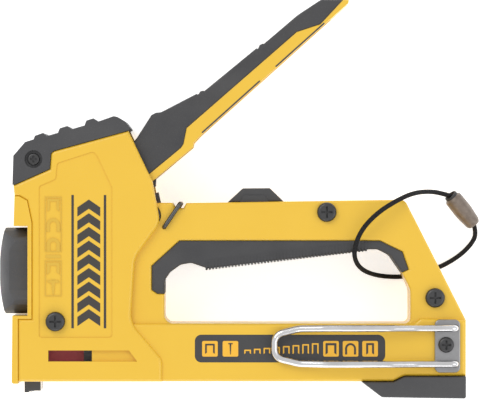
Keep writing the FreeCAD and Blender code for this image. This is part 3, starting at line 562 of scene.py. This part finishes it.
# the moulded column of fasteners beside them, in a darker copy of the enamel that is painted shade for the low
# relief
COLUMN_X, COLUMN_LEFT, COLUMN_RIGHT = -81.0, -84.9, -77.1
SIGN_THICK, RIM_THICK = 0.34, 0.3
moulded = frame_sign(COLUMN_LEFT, -24.5, COLUMN_RIGHT, 0.9, 0.5, PANEL_FACE, RIM_THICK)
moulded += frame_sign(COLUMN_LEFT, -44.9, COLUMN_RIGHT, -28.3, 0.5, PANEL_FACE, RIM_THICK)
moulded += staple_sign(COLUMN_X, -3.0, 5.3, 5.7, 1.1, PANEL_FACE, SIGN_THICK)
moulded += round_staple_sign(COLUMN_X, -12.1, 6.2, 6.2, 1.5, PANEL_FACE, SIGN_THICK)
moulded += round_staple_sign(COLUMN_X, -21.0, 6.2, 6.0, 1.7, PANEL_FACE, SIGN_THICK)
moulded += staple_sign(COLUMN_X, -32.1, 5.8, 5.4, 1.4, PANEL_FACE, SIGN_THICK)
moulded += [slab("dash", (-84.6, -27.3, PANEL_FACE), (-77.4, -25.8, PANEL_FACE + RIM_THICK), 0.3)]
moulded += nail_sign(COLUMN_X, -40.8, 6.6, 2.0, PANEL_FACE, SIGN_THICK)
both_sides("moulded_signs", moulded, "housing", SHADED_YELLOW)


# ---------------------------------------------------------------- rubber details

# fine ribs across the lower edge of the hand grip, which rises a little towards the rear
RIBS, RIB_STEP, RIB_RISE = 50, 1.5, 0.178
rib = slab("grip_ribs", (-11.0, -33.0, -13.95), (-10.1, -28.3, 13.95), 0.25)
bpy.ops.object.mode_set(mode="EDIT")
select_where("EDGE", lambda co: abs(co.z - MID) > 13.9 * MM and co.y < -32.9 * MM)
bpy.ops.mesh.bevel(offset=1.2 * MM, segments=3, affect="EDGES")
bpy.ops.object.mode_set(mode="OBJECT")
modify(rib, "ARRAY", count=RIBS, use_relative_offset=False, use_constant_offset=True,
       constant_offset_displace=(RIB_STEP * MM, RIB_RISE * MM, 0))
settle(rib)
dress(rib, "housing", RUBBER)

# two dark strips run along the lower edge of the lever band: painted shadow standing for the shaded inside of
# the lever's channel
BAND_FRONT, BAND_REAR, BAND_LENGTH = Vector((-12.6, 29.7, 0)), Vector((55.0, 90.3, 0)), 90.8
SHADOW_SPANS = ((0.005, 0.4), (0.508, 0.84))
shadow_pieces = []
edge = (BAND_REAR - BAND_FRONT).normalized()
inward = Vector((-edge.y, edge.x, 0))
for a, b in SHADOW_SPANS:
    first = BAND_FRONT + edge * BAND_LENGTH * a
    last = BAND_FRONT + edge * BAND_LENGTH * b
    length = (last - first).length
    centre = (first + last) / 2 + inward * 0.55
    shadow_piece = slab("shadow_piece", (-length / 2, -0.35, 12.2), (length / 2, 0.35, 12.6), 0.15)
    shadow_piece.rotation_euler = (0, 0, math.atan2(edge.y, edge.x))
    shadow_piece.location = (centre.x * MM, centre.y * MM, 0)
    settle(shadow_piece)
    shadow_pieces.append(shadow_piece)
# these near-black strips are painted shadow, not separate parts
both_sides("lever_channel_shadow", shadow_pieces, "lever", NYLON)

# a raised field on each side of the lever's stop pad, narrower at its top
FIELD_TOP, FIELD_FACE = 1.7, 11.35
field = slab("pad_field", (4.2, -2.6, 10.9), (18.8, FIELD_TOP, FIELD_FACE))
bpy.ops.object.mode_set(mode="EDIT")
select_where("VERT", lambda co: co.y > (FIELD_TOP - 0.1) * MM)
bpy.ops.transform.resize(value=(0.68, 1, 1), center_override=(11.5 * MM, FIELD_TOP * MM, MID))
select_where("EDGE", lambda co: co.z > MID + (FIELD_FACE - 0.05) * MM)
bpy.ops.mesh.bevel(offset=0.25 * MM, segments=2, affect="EDGES")
bpy.ops.object.mode_set(mode="OBJECT")
both_sides("pad_field", [field], "housing", LABEL_NYLON)

# a small spring finger between the nose guide and the polished strip
finger = slab("nose_finger", (-92.8, -89.4, -2.4), (-92.3, -86.8, 2.4), 0.2)
bpy.ops.object.mode_set(mode="EDIT")
select_where("FACE", lambda co: co.y < -89.3 * MM)
bpy.ops.mesh.extrude_region_move(TRANSFORM_OT_translate={"value": (0.45 * MM, -0.25 * MM, 0)})
bpy.ops.object.mode_set(mode="OBJECT")
settle(finger)
dress(finger, "housing", BLACKENED)


# ---------------------------------------------------------------- floor and light

bpy.ops.mesh.primitive_plane_add(size=6, location=(0, 0, -0.0002))
floor = name_it("floor")
floor.data.materials.append(backdrop_paper())

world = bpy.data.worlds.new("studio") if not bpy.context.scene.world else bpy.context.scene.world
bpy.context.scene.world = world
world.use_nodes = True
world.node_tree.nodes["Background"].inputs["Color"].default_value = (1, 1, 1, 1)
world.node_tree.nodes["Background"].inputs["Strength"].default_value = 0.8


def soft_light(name, place, size, power):
    """A square soft box that looks at the middle of the tool."""
    bpy.ops.object.light_add(type="AREA", location=place)
    light = name_it(name)
    light.data.size = size
    light.data.energy = power
    aim = Vector((0, 0, 0.02)) - Vector(place)
    light.rotation_euler = aim.to_track_quat("-Z", "Y").to_euler()


soft_light("key_light", (-0.6, 0.7, 0.9), 0.7, 4.5)
soft_light("fill_light", (0.8, -0.2, 0.8), 0.9, 2.5)
soft_light("low_light", (-0.1, -0.9, 0.5), 0.6, 1.5)
bpy.context.scene.view_settings.view_transform = "Standard"
